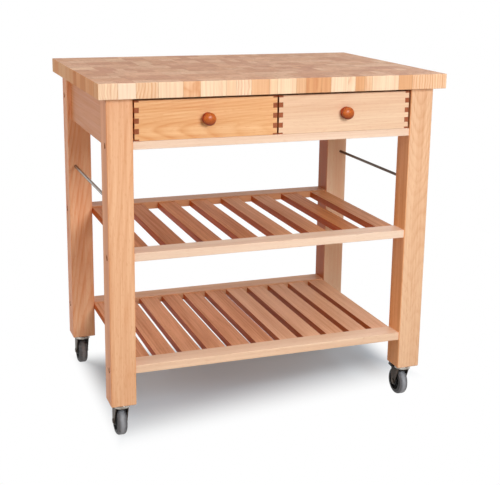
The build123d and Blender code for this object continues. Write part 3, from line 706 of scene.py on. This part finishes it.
def makeTube(look):
    material, node = newMaterial("brushedStainlessTube")
    place = node("TexCoord")
    height = node("SeparateXYZ", [place.outputs["Normal"]]).outputs["Z"]
    height = node("MapRange", [height, -1.0, 1.0, 0.0, 1.0])
    stops = [(at, hexColour(tone)) for at, tone in look["reflectionBands"]]
    reflectionBands = node("ValToRGB", [height], stops)
    # Painted shade: the tube on the right takes one darker tone.
    isRight = node("Math", [node("SeparateXYZ", [place.outputs["Object"]]).outputs["X"], 0.0],
                   operation="GREATER_THAN")
    colour = node("Mix", {0: isRight, 6: reflectionBands, 7: hexColour(look["rightShade"])},
                  data_type="RGBA")
    brushed = node("Mapping", {"Vector": place.outputs["Object"],
                               "Scale": look["brushScale"]})
    marks = node("TexNoise", {"Vector": brushed, "Scale": 1.0})
    rough = node("MapRange", [marks, *noiseRange, *look["gloss"]])
    bump = node("Bump", {"Strength": look["reliefShare"], "Distance": look["relief"],
                         "Height": marks})
    shader = node("BsdfPrincipled", {"Base Color": colour, "Metallic": 1.0, "Roughness": rough,
                                     "Normal": bump})
    node("OutputMaterial", [shader])
    return material


# Turned beech under a reddish varnish, rubbed to a soft gloss: fibres along the turning
# axis, a foot painted darker and redder than the head, as painted shade under the head, and
# painted shade on the side that faces down. Lengths are in metres.
knobLook = {
    "pale": "#E4781E",
    "deep": "#903806",
    # painted shade under the head
    "footShade": "#BC4808",
    # painted shade on the side that faces down
    "under": "#782A02",
    "fibreGap": (0.0022, 0.03),
    "cloudScale": 60.0,
    "mottle": 0.5,
    "head": (0.0125, 0.0150),
    "turnDown": (0.10, -0.60),
    "gloss": (0.30, 0.42),
    "specular": 0.2,
    "coat": 0.35,
    "coatRoughness": 0.28,
}


def makeVarnish(look):
    material, node = newMaterial("varnishedTurnedBeech")
    coordinates = node("TexCoord")
    place = coordinates.outputs["Object"]
    across, along = (1 / gap for gap in look["fibreGap"])
    stretch = node("Mapping", {"Vector": place, "Scale": (across, along, across)})
    fibre = node("TexNoise", {"Vector": stretch, "Scale": 1.0})
    clouds = node("TexNoise", {"Vector": place, "Scale": look["cloudScale"]})
    share = node("MapRange", [fibre, *noiseRange, 0.0, look["mottle"]])
    share = node("Math", [clouds, look["mottle"], share], operation="MULTIPLY_ADD")
    colour = node("Mix", {0: share, 6: hexColour(look["pale"]), 7: hexColour(look["deep"])},
                  data_type="RGBA")
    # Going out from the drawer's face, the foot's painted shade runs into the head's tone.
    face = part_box("drawer_left_front")[0][1]
    depth = node("Math", [face, node("SeparateXYZ", [place]).outputs["Y"]],
                 operation="SUBTRACT")
    inHead = node("MapRange", [depth, *look["head"]])
    colour = node("Mix", {0: inHead, 6: hexColour(look["footShade"]), 7: colour},
                  data_type="RGBA")
    # Painted shade: the side that faces down is darker.
    height = node("SeparateXYZ", [coordinates.outputs["Normal"]]).outputs["Z"]
    underShadeShare = node("MapRange", [height, *look["turnDown"], 0.0, 1.0])
    colour = node("Mix", {0: underShadeShare, 6: colour, 7: hexColour(look["under"])}, data_type="RGBA")
    rough = node("MapRange", [fibre, *noiseRange, *look["gloss"]])
    shader = node("BsdfPrincipled", {"Base Color": colour, "Roughness": rough,
                                     "Specular IOR Level": look["specular"],
                                     "Coat Weight": look["coat"],
                                     "Coat Roughness": look["coatRoughness"]})
    node("OutputMaterial", [shader])
    return material


finishMaterials = {name: makeFinish(name) for name in finishes}
forkMetal, tubeMetal = makeFork(forkLook), makeTube(rodLook)
knobVarnish = makeVarnish(knobLook)
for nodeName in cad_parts:
    if nodeName.startswith("towel_rod"):
        assign(nodeName, tubeMetal)
    elif nodeName.endswith("_fork"):
        assign(nodeName, forkMetal)
    elif nodeName in ("frame_bolts", "worktop_screws", "castor_stems"):
        assign(nodeName, finishMaterials["boltSteelInShade"])
    elif nodeName.startswith("brake_pedal"):
        assign(nodeName, finishMaterials["blackPaintedPressing"])
print("metal and varnish")

# Castor wheel, in metres: a hub with ribs between its boss and its rim, flanges that cover
# the sides of the tyre, and the tyre's round tread between them. The tread is paler from its
# middle out to the two distances given and darker beyond, and edges are taken off by ease or
# roundOver.
wheelSizes = {
    "tone": "#9CA2AA",
    "edge": "#5C5D62",
    "paleMiddle": (0.0045, 0.0120),
    "waver": 0.006,
    "cloudScale": 120.0,
    "roughness": 0.55,
    "tread": 0.0375,
    "halfWidth": 0.0125,
    "shoulder": 0.0075,
    "seat": 0.0295,
    "bore": 0.0041,
    "boss": (0.0120, 0.0140),
    "webHalf": 0.0042,
    "ribRise": 0.0045,
    "ribCount": 8,
    "rimInner": 0.0245,
    "flange": (0.0325, 0.0129),
    "ribWidth": (0.72, 0.2),
    "rimWidth": 0.0040,
    "ease": 0.0006,
    "roundOver": 0.0008,
    "draft": 0.0003,
    "lap": 0.0002,
    "turnSteps": 128,
    "cornerSteps": 9,
}


# Points nearer than merge, in metres, become one, and an edge is sharp past sharpAngle.
meshing = {"merge": 1e-6, "leastEdge": 1e-7, "sharpAngle": 40}


def turnedMesh(name, radii, sides, centre, axis, material):
    # A section carried round an axis. radii and sides are arrays with one row for each step
    # of the turn and one column for each point of the section: a point stands side metres
    # along the axis from the centre, and radius times cosine and radius times sine away
    # from it. The section's first and last points meet in a ring or in two poles.
    turns, points = radii.shape
    angles = np.linspace(0, 2 * math.pi, turns, endpoint=False)[:, None]
    others = [i for i in range(3) if i != axis]
    places = np.empty((turns, points, 3))
    places[..., axis] = centre[axis] + sides
    places[..., others[0]] = centre[others[0]] + radii * np.cos(angles)
    places[..., others[1]] = centre[others[1]] + radii * np.sin(angles)
    row, column = np.meshgrid(np.arange(turns), np.arange(points), indexing="ij")
    nextRow, nextColumn = (row + 1) % turns, (column + 1) % points
    quads = np.stack([
        row * points + column,
        nextRow * points + column,
        nextRow * points + nextColumn,
        row * points + nextColumn,
    ], axis=-1).reshape(-1, 4)
    mesh = bpy.data.meshes.new(name)
    mesh.from_pydata(places.reshape(-1, 3), [], quads.tolist())
    shell = bmesh.new()
    shell.from_mesh(mesh)
    bmesh.ops.remove_doubles(shell, verts=shell.verts, dist=meshing["merge"])
    bmesh.ops.dissolve_degenerate(shell, edges=shell.edges, dist=meshing["leastEdge"])
    bmesh.ops.recalc_face_normals(shell, faces=shell.faces)
    shell.to_mesh(mesh)
    shell.free()
    mesh.polygons.foreach_set("use_smooth", np.ones(len(mesh.polygons), dtype=bool))
    mesh.set_sharp_from_angle(angle=math.radians(meshing["sharpAngle"]))
    mesh.materials.append(material)
    piece = bpy.data.objects.new(name, mesh)
    scene.collection.objects.link(piece)
    return piece


# Drawer knob, in mm: distance out from the drawer's face and radius, from the foot over
# the hollow neck to the round head
knobShape = {
    "profile": [(0, 0), (0, 13.9), (0.6, 14.4), (5.0, 15.6), (7.4, 15.4), (8.6, 14.6),
                (9.6, 12.6), (10.6, 12.0), (11.6, 12.4), (12.8, 13.4), (14.4, 14.7),
                (16.4, 15.7), (18.6, 16.0), (20.6, 15.6), (22.6, 14.2), (24.3, 12.0),
                (25.7, 9.0), (26.6, 5.4), (27.0, 1.8), (27.0, 0)],
    "steps": 90,
    "turnSteps": 96,
}


def makeKnob(drawer, shape):
    # The profile is run through by length with its corners eased by a short moving average.
    nodeName = drawer + "_knob"
    low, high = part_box(nodeName)
    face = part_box(drawer + "_front")[0][1]
    outline = np.array(shape["profile"]) / 1000
    run = np.concatenate([[0], np.cumsum(np.linalg.norm(np.diff(outline, axis=0), axis=1))])
    along = np.linspace(0, run[-1], shape["steps"])
    out = np.interp(along, run, outline[:, 0])
    radius = np.interp(along, run, outline[:, 1])
    out[1:-1] = (out[:-2] + 2 * out[1:-1] + out[2:]) / 4
    radius[1:-1] = (radius[:-2] + 2 * radius[1:-1] + radius[2:]) / 4
    out = out * (face - low[1]) / out.max()
    turns = (shape["turnSteps"], 1)
    centre = [(low[0] + high[0]) / 2, face, (low[2] + high[2]) / 2]
    knob = turnedMesh(nodeName + "_turned", np.tile(radius, turns), np.tile(-out, turns),
                      centre, 1, knobVarnish)
    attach(knob, drawer)
    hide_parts(nodeName)


def makeTread(sizes):
    # Grey rubber, paler in the middle of the tread and darker towards its sides
    material, node = newMaterial("greyThermoplasticTread")
    place = node("TexCoord").outputs["Object"]
    low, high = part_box("castor_front_right_wheel")
    middle = (low[0] + high[0]) / 2
    away = node("Math", [node("SeparateXYZ", [place]).outputs["X"]], operation="ABSOLUTE")
    away = node("Math", [away, middle], operation="SUBTRACT")
    away = node("Math", [away], operation="ABSOLUTE")
    clouds = node("TexNoise", {"Vector": place, "Scale": sizes["cloudScale"]})
    reach = node("Math", [clouds, sizes["waver"], away], operation="MULTIPLY_ADD")
    share = node("MapRange", [reach, *sizes["paleMiddle"], 0.0, 1.0])
    colour = node("Mix", {0: share, 6: hexColour(sizes["tone"]), 7: hexColour(sizes["edge"])},
                  data_type="RGBA")
    shader = node("BsdfPrincipled", {"Base Color": colour, "Roughness": sizes["roughness"]})
    node("OutputMaterial", [shader])
    return material


def makeWheel(nodeName, sizes):
    low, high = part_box(nodeName)
    centre = [(low[i] + high[i]) / 2 for i in range(3)]
    turns = sizes["turnSteps"]
    half, shoulder = sizes["halfWidth"], sizes["shoulder"]

    # Tyre: two quarter rounds from the side walls to the tread, and back along the seat
    bend = np.linspace(0, math.pi / 2, sizes["cornerSteps"])
    roundSide = half - shoulder + shoulder * np.cos(bend)
    roundRadius = sizes["tread"] - shoulder + shoulder * np.sin(bend)
    side = np.concatenate([[half - 0.001, half], roundSide, -roundSide[::-1],
                           [-half, 0.001 - half]])
    seat, lap, draft = sizes["seat"], sizes["lap"], sizes["draft"]
    radius = np.concatenate([[seat, seat + lap], roundRadius, roundRadius[::-1],
                             [seat + lap, seat]])
    tyre = turnedMesh(nodeName + "_tyre", np.tile(radius, (turns, 1)),
                      np.tile(side, (turns, 1)), centre, 0, treadRubber)

    # Hub: from the bore over the boss, the ribbed web and the rim to the flange, then the
    # same back on the other side. A rib is raised where the cosine of its turn is near 1.
    bossRadius, bossHalf = sizes["boss"]
    flangeRadius, flangeHalf = sizes["flange"]
    web, rim = sizes["webHalf"], sizes["rimInner"]
    bore, ease, roundOver = sizes["bore"], sizes["ease"], sizes["roundOver"]
    # Radius, distance to the side, and 1 where the ribs rise
    oneSide = np.array([
        (bore, bossHalf - ease, 0),
        (bore + ease, bossHalf, 0),
        (bossRadius - roundOver, bossHalf, 0),
        (bossRadius, bossHalf - roundOver, 0),
        (bossRadius + draft, web, 1),
        ((bossRadius + rim) / 2, web, 1),
        (rim - draft, web, 1),
        (rim, flangeHalf - ease, 0),
        (rim + ease, flangeHalf, 0),
        (rim + sizes["rimWidth"], flangeHalf, 0),
        (flangeRadius - ease, flangeHalf - draft, 0),
        (flangeRadius, flangeHalf - roundOver, 0),
        (flangeRadius - 0.0004, half - shoulder * 0.12, 0),
        (seat - lap, half - 0.0012, 0),
    ])
    angles = np.linspace(0, 2 * math.pi, turns, endpoint=False)[:, None]
    ribStart, ribSlope = sizes["ribWidth"]
    rib = np.clip((np.cos(angles * sizes["ribCount"]) - ribStart) / ribSlope, 0, 1)
    rib = rib * rib * (3 - 2 * rib)
    sideHalf = oneSide[:, 1] + oneSide[:, 2] * rib * sizes["ribRise"]
    radii = np.tile(np.concatenate([oneSide[:, 0], oneSide[::-1, 0]]), (turns, 1))
    sides = np.concatenate([sideHalf, -sideHalf[:, ::-1]], axis=1)
    hub = turnedMesh(nodeName + "_hub", radii, sides, centre, 0,
                     finishMaterials["blackMouldedNylon"])

    for piece, slotName in ((tyre, "castor_tyre"), (hub, "pedal_black")):
        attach(piece, nodeName)
        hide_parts(nodeName)


treadRubber = makeTread(wheelSizes)
for nodeName in sorted(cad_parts):
    if nodeName.endswith("_wheel"):
        makeWheel(nodeName, wheelSizes)
for drawer in ("drawer_left", "drawer_right"):
    makeKnob(drawer, knobShape)
print("castor wheels and knobs")
